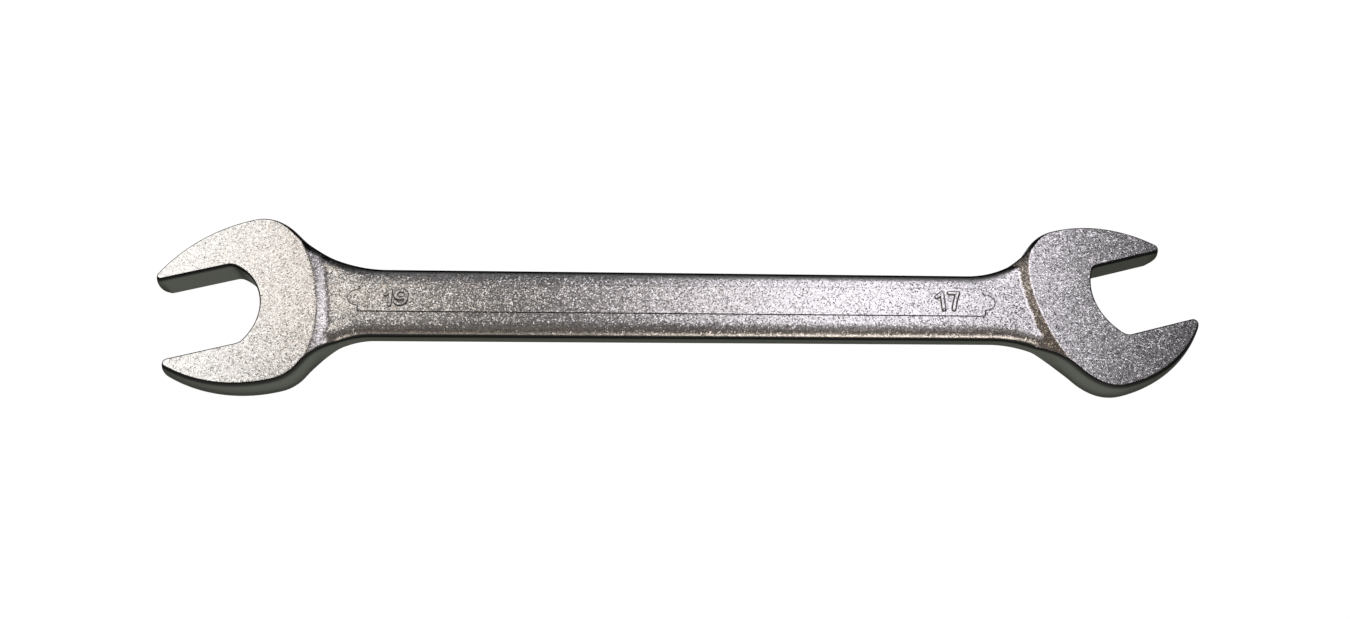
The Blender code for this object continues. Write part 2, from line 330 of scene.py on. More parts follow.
# Softboxes above the tool: the sides of each, in metres, its brightness and its colour
SOFTBOX_HEIGHT = 0.40
Softbox = namedtuple("Softbox", "left right near far brightness colour")
SOFTBOXES = {
    "left_softbox": Softbox(-0.58, -0.25, 0.01, 0.41, 1.53, (1.0, 0.99, 0.94)),
    "left_softbox_edge": Softbox(-0.25, -0.165, 0.16, 0.27, 1.65, (1.0, 0.87, 0.72)),
    "right_softbox_edge": Softbox(-0.02, 0.06, 0.16, 0.26, 1.75, (1.0, 0.92, 0.88)),
    "right_softbox": Softbox(0.06, 0.230, 0.09, 0.80, 1.74, (0.98, 0.95, 1.0)),
    "near_softbox": Softbox(0.06, 0.23, -0.10, 0.08, 0.35, (1.0, 0.97, 0.97)),
    "near_left_softbox": Softbox(-0.24, -0.03, -0.14, -0.02, 0.22, (1.0, 0.94, 0.86)),
    "front_softbox": Softbox(0.0, 0.35, -0.46, -0.355, 5.0, (1.0, 0.97, 0.93)),
    "front_left_softbox": Softbox(-0.38, 0.0, -0.46, -0.355, 0.75, (1.0, 0.96, 0.88)),
}

# Camera, fitted to the photograph: its target in the plan frame at mid thickness
CAMERA_TARGET = (-0.00093, -0.00045)
CAMERA_DISTANCE = 0.22719
CAMERA_ELEVATION = math.radians(63.10)
CAMERA_AZIMUTH = math.radians(2.244)
CAMERA_ROLL = math.radians(2.491)
CAMERA_LENS = 28.11
SENSOR_WIDTH = 36.0
CAMERA_CLIP_START = 0.01


# Shares, directions and angles


def smooth_share(share):
    """A share held between 0 and 1, with a soft start and a soft end."""
    share = np.clip(share, 0, 1)
    return share * share * (3 - 2 * share)


def rising(values, start, full):
    """From 0 at the start to 1 at the full value, which may be the smaller of the two."""
    return smooth_share((values - start) / (full - start))


def unit(vectors):
    return vectors / np.linalg.norm(vectors, axis=1)[:, None]


def right_of(directions):
    """The direction to the right of each one: outwards, on a loop that goes anticlockwise."""
    return np.stack([directions[:, 1], -directions[:, 0]], 1)


def angle_of(direction):
    return math.atan2(direction[1], direction[0])


def tilt_of(normals):
    """How far each normal leans from straight up or straight down."""
    return np.arccos(np.clip(abs(normals[:, 2]), 0, 1))


# Plan curves, as arrays of points


def arc(centre, radius, start, end, steps):
    turns = np.linspace(start, end, steps + 1)
    return np.asarray(centre) + radius * np.stack([np.cos(turns), np.sin(turns)], 1)


def straight(start, end, steps):
    """The points between two ends, without them."""
    shares = np.linspace(0, 1, steps + 1)[1:-1, None]
    return start + (end - start) * shares


def mirrored(points):
    return points[::-1] * (1, -1)


def outer_half(head):
    """From a jaw flat's end round the nose, along the jaw's back to the middle of the head's back."""
    half_width = head.width / 2
    nose = np.array([head.reach - head.nose, head.opening / 2 + head.nose])
    along = nose[0] - head.widest
    across = half_width - nose[1]
    jaw_radius = (along**2 + across**2 - head.nose**2) / (2 * (across - head.nose))
    jaw = np.array([head.widest, half_width - jaw_radius])
    joint = angle_of(nose - jaw)
    nose_run = arc(nose, head.nose, -math.pi / 2, joint, NOSE_STEPS)
    jaw_run = arc(jaw, jaw_radius, joint, math.pi / 2, JAW_STEPS)
    turns = np.linspace(0, math.pi / 2, BACK_STEPS + 1)[1:]
    depth = (head.back + head.widest) * np.sin(turns) ** (2 / BACK_EXPONENT)
    spread = half_width * np.clip(np.cos(turns), 0, 1) ** (2 / BACK_EXPONENT)
    spread[-1] = 0
    back_run = np.stack([head.widest - depth, spread], 1)
    return np.concatenate([nose_run, jaw_run[1:], back_run])


def opening_half(head):
    """From the middle of the throat round its corner and along the flat, short of the nose's start."""
    half_opening = head.opening / 2
    throat_radius = (half_opening**2 + head.rise**2) / (2 * head.rise)
    throat = np.array([head.throat + throat_radius, 0])
    drop = half_opening - head.corner
    run = math.sqrt((throat_radius - head.corner) ** 2 - drop**2)
    corner = np.array([throat[0] - run, drop])
    joint = angle_of(corner - throat)
    throat_run = arc(throat, throat_radius, math.pi, joint, THROAT_STEPS)
    corner_run = arc(corner, head.corner, joint, math.pi / 2, CORNER_STEPS)
    nose_start = np.array([head.reach - head.nose, half_opening])
    flat_run = straight(corner_run[-1], nose_start, FLAT_STEPS)
    return np.concatenate([throat_run, corner_run[1:], flat_run])


def in_plan(head, points):
    """A head's points, turned and moved to its end of the tool."""
    turn = JAW_ANGLE if head.side > 0 else JAW_ANGLE + math.pi
    along = np.array([math.cos(turn), math.sin(turn)])
    across = np.array([-along[1], along[0]])
    centre = np.array([head.side * JAW_CENTRE_DISTANCE / 2, 0])
    return centre + points[:, :1] * along + points[:, 1:] * across


def shank_edge(x, side):
    """The point of the shank's edge at a place along it, and the direction outwards there."""
    slope = (SHANK_WIDTH_17 - SHANK_WIDTH_19) / 2 / JAW_CENTRE_DISTANCE
    half_width = (SHANK_WIDTH_19 + SHANK_WIDTH_17) / 4 + slope * x
    outwards = np.array([-slope, side])
    return np.array([x, side * half_width]), outwards / np.linalg.norm(outwards)


def neck_arc(outline, side, radius, start_x):
    """The fillet that touches the shank's edge and a head's outline, from the head to the shank."""
    near, far = start_x, 0.0
    for _ in range(BISECTIONS):
        middle = (near + far) / 2
        foot, outwards = shank_edge(middle, side)
        centre = foot + radius * outwards
        if np.linalg.norm(outline - centre, axis=1).min() < radius:
            near = middle
        else:
            far = middle
    touch = outline[np.linalg.norm(outline - centre, axis=1).argmin()]
    start = angle_of(touch - centre)
    turn = (angle_of(-outwards) - start + math.pi) % (2 * math.pi) - math.pi
    return arc(centre, radius, start, start + turn, NECK_STEPS)


HeadRuns = namedtuple("HeadRuns", "outer before steep long after inner")


def head_runs(head):
    """A head's whole outer curve, and its outline in runs that go anticlockwise.

    They lead up to the steep neck and along it, and then along the long neck and on round the opening.
    """
    upper = outer_half(head)
    outer = in_plan(head, np.concatenate([upper, mirrored(upper)[1:]]))
    inner_half = opening_half(head)
    inner = in_plan(head, np.concatenate([mirrored(inner_half)[:-1], inner_half]))
    start_x = head.side * JAW_CENTRE_DISTANCE / 2
    steep = neck_arc(outer, head.side, head.steep_neck, start_x)
    long = neck_arc(outer, -head.side, head.long_neck, start_x)
    first = np.linalg.norm(outer - steep[0], axis=1).argmin()
    last = np.linalg.norm(outer - long[0], axis=1).argmin()
    return HeadRuns(outer, outer[:first], steep, long[::-1], outer[last + 1 :], inner)


def neck_edges(head):
    """Height of the upright edge at each point of a neck, from the head to the shank."""
    share = smooth_share(np.linspace(0, 1, NECK_STEPS + 1))
    return head.neck_edge + (SHANK_EDGE_HEIGHT - head.neck_edge) * share


def nose_leans(points):
    """The wall's lean on a run that starts at a jaw flat's end."""
    return WALL_LEAN * np.clip(np.arange(len(points)) / (NOSE_STEPS * NOSE_BULGE_SHARE), 0, 1)


def neck_leans():
    """The wall's lean at each point of a neck, from the head to the shank."""
    share = np.arange(NECK_STEPS + 1) / (NECK_STEPS * NECK_BULGE_SHARE)
    return WALL_LEAN * smooth_share(1 - share)


class Plan:
    """The whole outline, with each point's outward direction and wall lean.

    `edges` are the shank's two edge lines with their necks and the height of the upright edge at each
    point, and `backs` are the heads with their outer curves.
    """

    def __init__(self):
        runs = {head: head_runs(head) for head in (HEAD_19, HEAD_17)}
        self.backs = [(head, head_run.outer) for head, head_run in runs.items()]
        self.edges = []
        outline_runs = []
        # anticlockwise: 17 mm head, upper edge, 19 mm head and its opening, lower edge, 17 mm head
        for first, last in ((HEAD_17, HEAD_19), (HEAD_19, HEAD_17)):
            start, end = runs[first], runs[last]
            across = straight(start.steep[-1], end.long[0], EDGE_STEPS)
            line = np.concatenate([start.steep, across, end.long])
            flat = np.full(len(across), SHANK_EDGE_HEIGHT)
            heights = np.concatenate([neck_edges(first), flat, neck_edges(last)[::-1]])
            self.edges.append((line, heights))
            leans = np.concatenate([neck_leans(), np.zeros(len(across)), neck_leans()[::-1]])
            outline_runs.append((start.before, nose_leans(start.before)))
            outline_runs.append((line, leans))
            outline_runs.append((end.after, nose_leans(end.after)[::-1]))
            outline_runs.append((end.inner, np.zeros(len(end.inner))))
        self.outline = np.concatenate([points for points, _ in outline_runs])
        self.leans = np.concatenate([leans for _, leans in outline_runs])
        self.normals = self.mitred_normals()
        low, high = self.outline.min(0), self.outline.max(0)
        self.offset = np.array([*(-(low + high) / 2), HEAD_THICKNESS / 2])

    def mitred_normals(self):
        """Outward directions, so long that a step along them moves both sides of a corner by it."""
        before = right_of(unit(self.outline - np.roll(self.outline, 1, 0)))
        after = right_of(unit(np.roll(self.outline, -1, 0) - self.outline))
        middle = unit(before + after)
        return middle / (middle * before).sum(1)[:, None]


# Height of the upper face above the middle plane


def nearest_on(points, line, closed=False):
    """Distance to a line of points, the segment hit, the share along it and the side, 1 on its left."""
    start = line
    end = np.roll(line, -1, 0)
    if not closed:
        start, end = start[:-1], end[:-1]
    along = end - start
    square = (along**2).sum(1)
    distance = np.empty(len(points))
    segment = np.empty(len(points), int)
    share = np.empty(len(points))
    side = np.empty(len(points))
    for first in range(0, len(points), COMPARED_AT_ONCE):
        part = slice(first, first + COMPARED_AT_ONCE)
        gap = points[part, None, :] - start[None]
        t = np.clip((gap * along).sum(2) / square, 0, 1)
        off = gap - t[:, :, None] * along
        away = np.sqrt((off**2).sum(2))
        best = away.argmin(1)
        rows = np.arange(len(best))
        distance[part] = away[rows, best]
        segment[part] = best
        share[part] = t[rows, best]
        step, reach = along[best], gap[rows, best]
        side[part] = np.sign(step[:, 0] * reach[:, 1] - step[:, 1] * reach[:, 0])
    return distance, segment, share, side


def shank_height(points, plan):
    """The shank's flat face with its rounded shoulders, and its slight fall outside the panel."""
    height = np.full(len(points), SHANK_THICKNESS / 2)
    for line, edges in plan.edges:
        distance, segment, share, side = nearest_on(points, line)
        edge = edges[segment] + (edges[segment + 1] - edges[segment]) * share
        fall = (SHANK_THICKNESS - edge) / 2
        width = np.sqrt(SHOULDER_RADIUS**2 - (SHOULDER_RADIUS - fall) ** 2)
        over = np.clip(width - distance * side, 0, SHOULDER_RADIUS * SHOULDER_SHARE)
        drop = SHOULDER_RADIUS - np.sqrt(SHOULDER_RADIUS**2 - over**2)
        height = np.minimum(height, SHANK_THICKNESS / 2 - drop)
    outside = np.maximum(np.maximum(points[:, 1] - PANEL_HIGH, PANEL_LOW - points[:, 1]), 0)
    return height - CROWN_SLOPE * outside * rising(outside, CROWN_FADE_END, CROWN_FADE_START)


def beyond_back(points, outer):
    """Signed distance outside a head's curve, negative within the head."""
    distance, _, _, side = nearest_on(points, outer)
    return -side * distance


def head_height(points, head, outer):
    """A head's level face, and the cove by which it falls beyond the head's back."""
    beyond = beyond_back(points, outer)
    onset = np.clip(beyond + CREST_ROUND, 0, 2 * CREST_ROUND)
    run = np.where(beyond < CREST_ROUND, onset**2 / (4 * CREST_ROUND), beyond)
    fall = (HEAD_THICKNESS - SHANK_THICKNESS) / 2
    return HEAD_THICKNESS / 2 - fall * (run / head.cove) ** COVE_EXPONENT


def blend_max(first, second, size):
    """The greater of two heights, rounded where they meet."""
    share = np.clip(0.5 + (first - second) / (2 * size), 0, 1)
    return second + (first - second) * share + size * share * (1 - share)


def face_height(points, plan):
    """The upper face without its relief: the shank's, with the heads' where they are higher."""
    height = shank_height(points, plan)
    for head, outer in plan.backs:
        height = blend_max(head_height(points, head, outer), height, COVE_FOOT_ROUND)
    return height


# Groove round the panel, and raised numbers


def panel_line():
    """The groove's line, anticlockwise: a long box with round corners and a round tab at each end."""
    corners = (
        (PANEL_RIGHT, PANEL_LOW, -math.pi / 2),
        (PANEL_RIGHT, PANEL_HIGH, 0.0),
        (PANEL_LEFT, PANEL_HIGH, math.pi / 2),
        (PANEL_LEFT, PANEL_LOW, math.pi),
    )
    turns = np.linspace(-math.pi / 2, math.pi / 2, TAB_STEPS + 1)
    runs = []
    for i, (x, y, start) in enumerate(corners):
        centre = np.array(
            [x - math.copysign(PANEL_CORNER, x), y - math.copysign(PANEL_CORNER, y)]
        )
        runs.append(arc(centre, PANEL_CORNER, start, start + math.pi / 2, PANEL_CORNER_STEPS))
        if i in (0, 2):
            side = 1 if i == 0 else -1
            tab = np.stack([TAB_REACH * np.cos(turns), side * TAB_HALF_HEIGHT * np.sin(turns)], 1)
            runs.append(tab * (side, 1) + (x, TAB_CENTRE))
    loop = np.concatenate(runs)
    dense = []
    for start, end in zip(loop, np.roll(loop, -1, 0)):
        steps = max(1, int(np.linalg.norm(end - start) / PANEL_STEP))
        dense.append(start + (end - start) * (np.arange(steps) / steps)[:, None])
    return np.concatenate(dense)


def seven_stem():
    """From the right end of the seven's bar down to its foot."""
    x, y = SEVEN_BAR[1]
    shares = np.linspace(0, 1, SEVEN_STEPS + 1)
    return [(x - SEVEN_STEM_RUN * t, y - SEVEN_STEM_DROP * t**SEVEN_STEM_CURVE) for t in shares]


def oval_run(oval, steps):
    """Points along an oval, from its right end and through its turn."""
    turns = np.linspace(0, oval.turn, steps + 1)
    return [
        (oval.x + oval.half_width * math.cos(t), oval.y + oval.half_height * math.sin(t))
        for t in turns
    ]


def digit_lines(digit, left, low, height):
    """The middle lines of a digit's strokes, at its height and in its place."""
    shapes = {
        "1": [ONE_CORNERS],
        "7": [SEVEN_BAR, seven_stem()],
        "9": [oval_run(NINE_BOWL, BOWL_STEPS), [NINE_SIDE] + oval_run(NINE_TAIL, TAIL_STEPS)],
    }
    return [np.array(shape) * height + (left, low) for shape in shapes[digit]]


def number_lines():
    """The middle lines of both numbers' strokes."""
    lines = []
    for number in NUMBERS:
        for i, digit in enumerate(number.digits):
            left = number.left + i * number.advance * number.height
            lines += digit_lines(digit, left, number.low, number.height)
    return lines


def relief(points, panel, numbers):
    """What the groove takes from the face's height and the numbers add to it."""
    height = np.zeros(len(points))
    near = (abs(points[:, 1]) < RELIEF_HALF_WIDTH) & (abs(points[:, 0]) < RELIEF_HALF_LENGTH)
    chosen = points[near]
    distance = nearest_on(chosen, panel, closed=True)[0]
    upwards = np.clip((chosen[:, 1] - PANEL_LOW) / (PANEL_HIGH - PANEL_LOW), 0, 1)
    depth = GROOVE_DEPTH * (1 + (GROOVE_UPPER_SHARE - 1) * upwards)
    height[near] = -depth * (1 - smooth_share(distance / GROOVE_HALF_WIDTH))
    closest = np.full(len(chosen), np.inf)
    for line in numbers:
        closest = np.minimum(closest, nearest_on(chosen, line)[0])
    height[near] += DIGIT_RISE * smooth_share(0.5 + (DIGIT_STROKE / 2 - closest) / DIGIT_SLOPE)
    return height


# Points of the upper face


class PointSet:
    """Points of the face, each kept only where no earlier one is closer than its own spacing."""

    def __init__(self, first):
        self.kept = []
        self.keep(first)

    def keep(self, more):
        self.kept += more
        self.tree = KDTree(len(self.kept))
        for i, (x, y) in enumerate(self.kept):
            self.tree.insert((x, y, 0), i)
        self.tree.balance()

    def add(self, points, spacing):
        """Keeps the points that lie at least the spacing from all those of earlier calls."""
        self.keep([(x, y) for x, y in points if self.tree.find((x, y, 0))[2] >= spacing])


def line_normals(line, closed=False):
    """The direction to the right at each point of a line."""
    along = np.roll(line, -1, 0) - np.roll(line, 1, 0)
    if not closed:
        along[0] = line[1] - line[0]
        along[-1] = line[-1] - line[-2]
    return right_of(unit(along))


def grid(low, high, step):
    """Points in rows, every second row half a step along."""
    xs = np.arange(low[0], high[0], step)
    ys = np.arange(low[1], high[1], step)
    x, y = np.meshgrid(xs, ys)
    x = x + (np.arange(len(ys)) % 2 * step / 2)[:, None]
    return np.stack([x.ravel(), y.ravel()], 1)


def face_points(plan, rim, panel, numbers):
    """The rim's points, then those inside it, laid in rows along what has to stay crisp."""
    points = PointSet([tuple(point) for point in rim])

    def inside(candidates, inset):
        distance, _, _, side = nearest_on(candidates, rim, closed=True)
        return candidates[(side > 0) & (distance > inset)]

    for line in numbers:
        low, high = line.min(0) - 2 * DIGIT_MARGIN, line.max(0) + 2 * DIGIT_MARGIN
        candidates = grid(low, high, DIGIT_GRID)
        close = nearest_on(candidates, line)[0] < DIGIT_STROKE / 2 + DIGIT_MARGIN / 2
        points.add(candidates[close], DIGIT_GRID * DIGIT_SPACING_SHARE)
    panel_normals = line_normals(panel, closed=True)
    for i in range(PANEL_ROW_COUNT):
        row = (i - PANEL_ROW_COUNT // 2) * PANEL_ROW_GAP
        points.add(panel + row * panel_normals, PANEL_ROW_GAP * PANEL_SPACING_SHARE)
    for _, outer in plan.backs:
        normals = line_normals(outer)
        for row in BACK_ROWS + COVE_ROWS:
            step = 1 if abs(row) < BACK_FULL_WITHIN else 2
            spacing = CREST_SPACING if abs(row) < CREST_WITHIN else COVE_SPACING
            points.add(inside((outer + row * normals)[::step], COVE_INSET), spacing)
    for row in EDGE_ROWS:
        step = 1 if row < EDGE_FULL_WITHIN else 2
        candidates = inside((plan.outline - row * plan.normals)[::step], row * EDGE_INSET_SHARE)
        points.add(candidates, row * EDGE_SPACING_SHARE)
    candidates = inside(grid(plan.outline.min(0), plan.outline.max(0), OPEN_GRID), OPEN_INSET)
    points.add(candidates, OPEN_GRID * OPEN_SPACING_SHARE)
    return np.array(points.kept)


# Rim and wall


def edge_slopes(plan):
    """How steeply the face falls at each point of the outline, as an angle."""
    deep = face_height(plan.outline - (EDGE_SLOPE_INSET + EDGE_SLOPE_RUN) * plan.normals, plan)
    shallow = face_height(plan.outline - EDGE_SLOPE_INSET * plan.normals, plan)
    slopes = np.arctan((deep - shallow) / EDGE_SLOPE_RUN)
    for _ in range(EDGE_SLOPE_ROUNDS):
        slopes = (np.roll(slopes, 1) + slopes * 2 + np.roll(slopes, -1)) / 4
    return np.clip(slopes, 0, EDGE_SLOPE_MOST)


def rim_radii(slopes):
    """The rim's radius, larger where a slope ends at the edge."""
    return RIM_RADIUS + (RIDGE_RADIUS - RIM_RADIUS) * smooth_share(slopes / RIDGE_SLOPE)


def wall_levels(plan, slopes, rim_heights):
    """From the rim's top down to just above the middle plane: rings of reaches, heights and tilts."""
    radii = rim_radii(slopes)
    levels = []
    for step in range(RIM_STEPS + 1):
        turn = slopes + (math.pi / 2 - plan.leans - slopes) * step / RIM_STEPS
        reach = radii * (np.sin(turn) - 1)
        height = rim_heights - radii * (np.cos(slopes) - np.cos(turn))
        levels.append((reach, height, turn))
    reach, height, _ = levels[-1]
    lean = np.maximum(plan.leans, LEAST_LEAN)
    for step in range(1, WALL_STEPS + 1):
        share = 1 - step / (WALL_STEPS + 0.5)
        bulge = height / np.sin(lean) * (np.cos(lean * share) - np.cos(lean))
        level_height = height * np.sin(lean * share) / np.sin(lean)
        levels.append((reach + bulge, level_height, math.pi / 2 - lean * share))
    return levels


def ring_normals(plan, turn):
    """Outward normals, tilted from straight up by the turn at each point of the outline."""
    return np.column_stack([unit(plan.normals) * np.sin(turn)[:, None], np.cos(turn)])


def wall_rings(plan, levels):
    """Places and normals of the rings, from below the upper rim's top to above the lower rim's."""
    rings = []
    for reach, height, turn in levels[1:]:
        ring = plan.outline + reach[:, None] * plan.normals
        rings.append((np.column_stack([ring, height]), ring_normals(plan, turn)))
    lower = [(ring * UNDERNEATH, normals * UNDERNEATH) for ring, normals in reversed(rings)]
    return rings + lower


# Mesh of the whole skin

Face = namedtuple("Face", "places triangles plain raised plain_normals raised_normals lift")


def slope_normals(points, height_of):
    """The upward normals of a height field, from its rise over a small step each way."""
    here = height_of(points)
    along = (height_of(points + (NORMAL_STEP, 0)) - here) / NORMAL_STEP
    across = (height_of(points + (0, NORMAL_STEP)) - here) / NORMAL_STEP
    return unit(np.column_stack([-along, -across, np.ones(len(points))]))


def loop_edges(count):
    return [(i, (i + 1) % count) for i in range(count)]


def face_in_rim(plan, rim):
    """The face as triangles, with its heights and normals without the relief and with it."""
    panel, numbers = panel_line(), number_lines()
    flat = face_points(plan, rim, panel, numbers)
    places, _, triangles, _, _, _ = delaunay_2d_cdt(
        [Vector(point) * MESHING_SCALE for point in flat],
        loop_edges(len(rim)),
        [],
        1,
        MESHING_TOLERANCE,
    )
    places = np.array([tuple(place) for place in places]) / MESHING_SCALE
    plain = face_height(places, plan)
    plain_normals = slope_normals(places, lambda points: face_height(points, plan))
    raised = plain + relief(places, panel, numbers)
    lift = slope_normals(places, lambda points: relief(points, panel, numbers))
    raised_normals = plain_normals / plain_normals[:, 2:] + lift / lift[:, 2:] - (0, 0, 1)
    return Face(places, triangles, plain, raised, plain_normals, raised_normals, lift)


def skin_faces(triangles, face_count, ring_count, rings):
    """Both faces' triangles, and the wall's quads from ring to ring."""
    first_under = face_count + ring_count * rings
    faces = [tuple(face) for face in triangles]
    faces += [tuple(first_under + i for i in reversed(face)) for face in triangles]
    starts = [0] + [face_count + ring_count * i for i in range(rings)] + [first_under]
    for upper, lower in zip(starts, starts[1:]):
        for i, j in loop_edges(ring_count):
            faces.append((upper + i, lower + i, lower + j, upper + j))
    return faces


def finish_and_painted_light_zones(normals, flank_starts, insets, drops):
    """The share at each point of the flank's finish and of each painted reflection and shade, from where
    and how the surface lies.

    `insets` says how far in from the edge a point is, and `drops` how far below the rim.
    """
    tilt = tilt_of(normals)
    level = np.maximum(np.hypot(normals[:, 0], normals[:, 1]), LEAST_LEVEL)
    rightwards, backwards = normals[:, 0] / level, normals[:, 1] / level
    # The flank's dark tone is a painted reflection; its roughness and lesser facet lean are its own
    # finish
    flank = smooth_share((tilt - flank_starts) / FLANK_SPAN)
    # Painted near-black reflections: on the walls' upper parts, and along the back edge
    upper_wall = flank * rising(drops, UPPER_WALL_END, UPPER_WALL_FULL)
    back = rising(insets, BACK_START, BACK_FULL) * rising(tilt, BACK_TILT_START, BACK_TILT_FULL)
    back = back * smooth_share(backwards / FACING_FULL)
    back = back * rising(tilt, BACK_WALL_FULL, BACK_WALL_START)
    # Painted brownish reflection on slopes that face the front
    painted_front_reflection = rising(tilt, FRONT_REFLECTION_START, FRONT_REFLECTION_FULL) * smooth_share(-backwards / FACING_FULL)
    shade = rising(tilt, SHADE_START, SHADE_FULL)
    shade = shade * rising(-rightwards, LEFT_FACING_START, LEFT_FACING_FULL)
    return {"flank": flank, "dark": np.maximum(back, upper_wall), "painted_front_reflection": painted_front_reflection, "shade": shade}


def line_zone(face):
    """The share of the painted shade at each point of the upper face: along the groove and on the digits'
    slopes.
    """
    slopes = rising(tilt_of(face.lift), LINE_START, LINE_FULL)
    return np.maximum(slopes, np.clip((face.plain - face.raised) / GROOVE_DEPTH, 0, 1))


def forged_zone(plan, vertices, normals):
    """The share of the shank's rougher finish at each point of the skin."""
    in_plan_frame = vertices[:, :2] - plan.offset[:2]
    beyond = np.min([beyond_back(in_plan_frame, outer) for _, outer in plan.backs], 0)
    rough = rising(beyond, FORGED_START, FORGED_FULL)
    return rough * rising(tilt_of(normals), SMOOTH_FULL, SMOOTH_START)


def skin_finish_and_painted_light(plan, slopes, face, rings, vertices, normals):
    """The share of each finish, painted reflection and painted shade at every point of the skin, by its
    name.
    """
    count = len(plan.outline)
    start_span = RIDGE_FLANK_START - RIM_FLANK_START
    rim_starts = RIM_FLANK_START + start_span * smooth_share(slopes / RIDGE_SLOPE)
    inner_starts = np.full(len(face.places) - count, RIDGE_FLANK_START)
    face_starts = [rim_starts, inner_starts]
    flank_starts = np.concatenate(face_starts + [rim_starts] * len(rings) + face_starts)
    face_insets = nearest_on(face.places, plan.outline, closed=True)[0]
    insets = np.concatenate([face_insets, np.zeros(count * len(rings)), face_insets])
    ring_drops = [face.plain[:count] - ring[:, 2] for ring, _ in rings]
    drops = np.concatenate([np.zeros(len(face.places))] + ring_drops + [face.plain * 2])
    zones = finish_and_painted_light_zones(normals, flank_starts, insets, drops)
    line = line_zone(face)
    zones["line"] = np.concatenate([line, np.zeros(len(vertices) - len(line))])
    zones["forged"] = np.maximum(forged_zone(plan, vertices, normals), zones["shade"])
    return zones


def add_layer(mesh, name, kind, values):
    layer = mesh.attributes.new(name, kind, "POINT")
    field = "vector" if kind == "FLOAT_VECTOR" else "value"
    layer.data.foreach_set(field, np.asarray(values, np.float32).ravel())


def build_skin(plan):
    """The skin as one mesh, with its true normals, and its finish and painted light in point layers."""
    slopes = edge_slopes(plan)
    rim = plan.outline - (rim_radii(slopes) * (1 - np.sin(slopes)))[:, None] * plan.normals
    face = face_in_rim(plan, rim)
    count = len(rim)
    levels = wall_levels(plan, slopes, face.plain[:count])
    rings = wall_rings(plan, levels)
    rim_tilts = levels[0][2]
    face.plain_normals[:count] = ring_normals(plan, rim_tilts)
    face.raised_normals[:count] = ring_normals(plan, rim_tilts)

    top = np.column_stack([face.places, face.raised])
    under = np.column_stack([face.places, -face.plain])
    vertices = np.concatenate([top] + [ring for ring, _ in rings] + [under]) + plan.offset
    side_normals = [normals for _, normals in rings]
    under_normals = face.plain_normals * UNDERNEATH
    normals = unit(np.concatenate([face.raised_normals] + side_normals + [under_normals]))

    mesh = bpy.data.meshes.new("wrench_skin")
    faces = skin_faces(face.triangles, len(face.places), count, len(rings))
    mesh.from_pydata([tuple(vertex) for vertex in vertices], [], faces)
    add_layer(mesh, "true_normal", "FLOAT_VECTOR", normals)
    for name, values in skin_finish_and_painted_light(plan, slopes, face, rings, vertices, normals).items():
        add_layer(mesh, name, "FLOAT", values)
    return mesh


# Pieces of the skin


def cut_piece(mesh, name, material, low_x, high_x):
    """The part of the skin between two planes across the shank, closed where it is cut."""
    build = bmesh.new()
    build.from_mesh(mesh)
    for x, direction in ((low_x, -1), (high_x, 1)):
        if x is None:
            continue
        cut = bmesh.ops.bisect_plane(
            build,
            geom=build.verts[:] + build.edges[:] + build.faces[:],
            dist=CUT_TOLERANCE,
            plane_co=(x, 0, 0),
            plane_no=(direction, 0, 0),
            clear_outer=True,
        )
        edges = [e for e in cut["geom_cut"] if isinstance(e, bmesh.types.BMEdge)]
        bmesh.ops.edgenet_fill(build, edges=edges)
    for face in build.faces:
        face.smooth = True
    bmesh.ops.recalc_face_normals(build, faces=build.faces)
    piece = bpy.data.meshes.new(name)
    piece.materials.append(material)
    build.to_mesh(piece)
    build.free()
    set_normals(piece)
    made = bpy.data.objects.new(name, piece)
    bpy.context.scene.collection.objects.link(made)
    return made


def set_normals(piece):
    """Shades the piece with the skin's true normals, and its cut ends flat."""
    layer = piece.attributes["true_normal"]
    values = np.empty(len(piece.vertices) * 3, np.float32)
    layer.data.foreach_get("vector", values)
    values = values.reshape(-1, 3)
    corners = np.empty(len(piece.loops), np.int32)
    piece.loops.foreach_get("vertex_index", corners)
    shading = values[corners]
    for face in piece.polygons:
        if abs(face.normal.x) > CUT_END_FACING:
            shading[face.loop_start : face.loop_start + face.loop_total] = face.normal
    piece.attributes.remove(layer)
    piece.normals_split_custom_set(shading.tolist())


# Shader nodes, whose inputs are given as values or as other nodes' outputs


def feed(tree, given, socket):
    if isinstance(given, bpy.types.NodeSocket):
        tree.links.new(given, socket)
    else:
        socket.default_value = given


def zone_share(tree, zone):
    """The share of a finish at each point, from the skin's layer of that name."""
    node = tree.nodes.new("ShaderNodeAttribute")
    node.attribute_name = zone
    return node.outputs["Fac"]


def between(tree, share, low, high):
    """From the low value to the high one, as the share goes from 0 to 1."""
    node = tree.nodes.new("ShaderNodeMapRange")
    feed(tree, share, node.inputs["Value"])
    feed(tree, low, node.inputs["To Min"])
    feed(tree, high, node.inputs["To Max"])
    return node.outputs["Result"]


def vector_math(tree, operation, *given):
    node = tree.nodes.new("ShaderNodeVectorMath")
    node.operation = operation
    for value, socket in zip(given, node.inputs):
        feed(tree, value, socket)
    return node.outputs["Vector"]


def scaled(tree, vector, amount):
    node = tree.nodes.new("ShaderNodeVectorMath")
    node.operation = "SCALE"
    feed(tree, vector, node.inputs[0])
    feed(tree, amount, node.inputs["Scale"])
    return node.outputs["Vector"]


def number_math(tree, operation, *given):
    node = tree.nodes.new("ShaderNodeMath")
    node.operation = operation
    for value, socket in zip(given, node.inputs):
        feed(tree, value, socket)
    return node.outputs["Value"]


# Materials


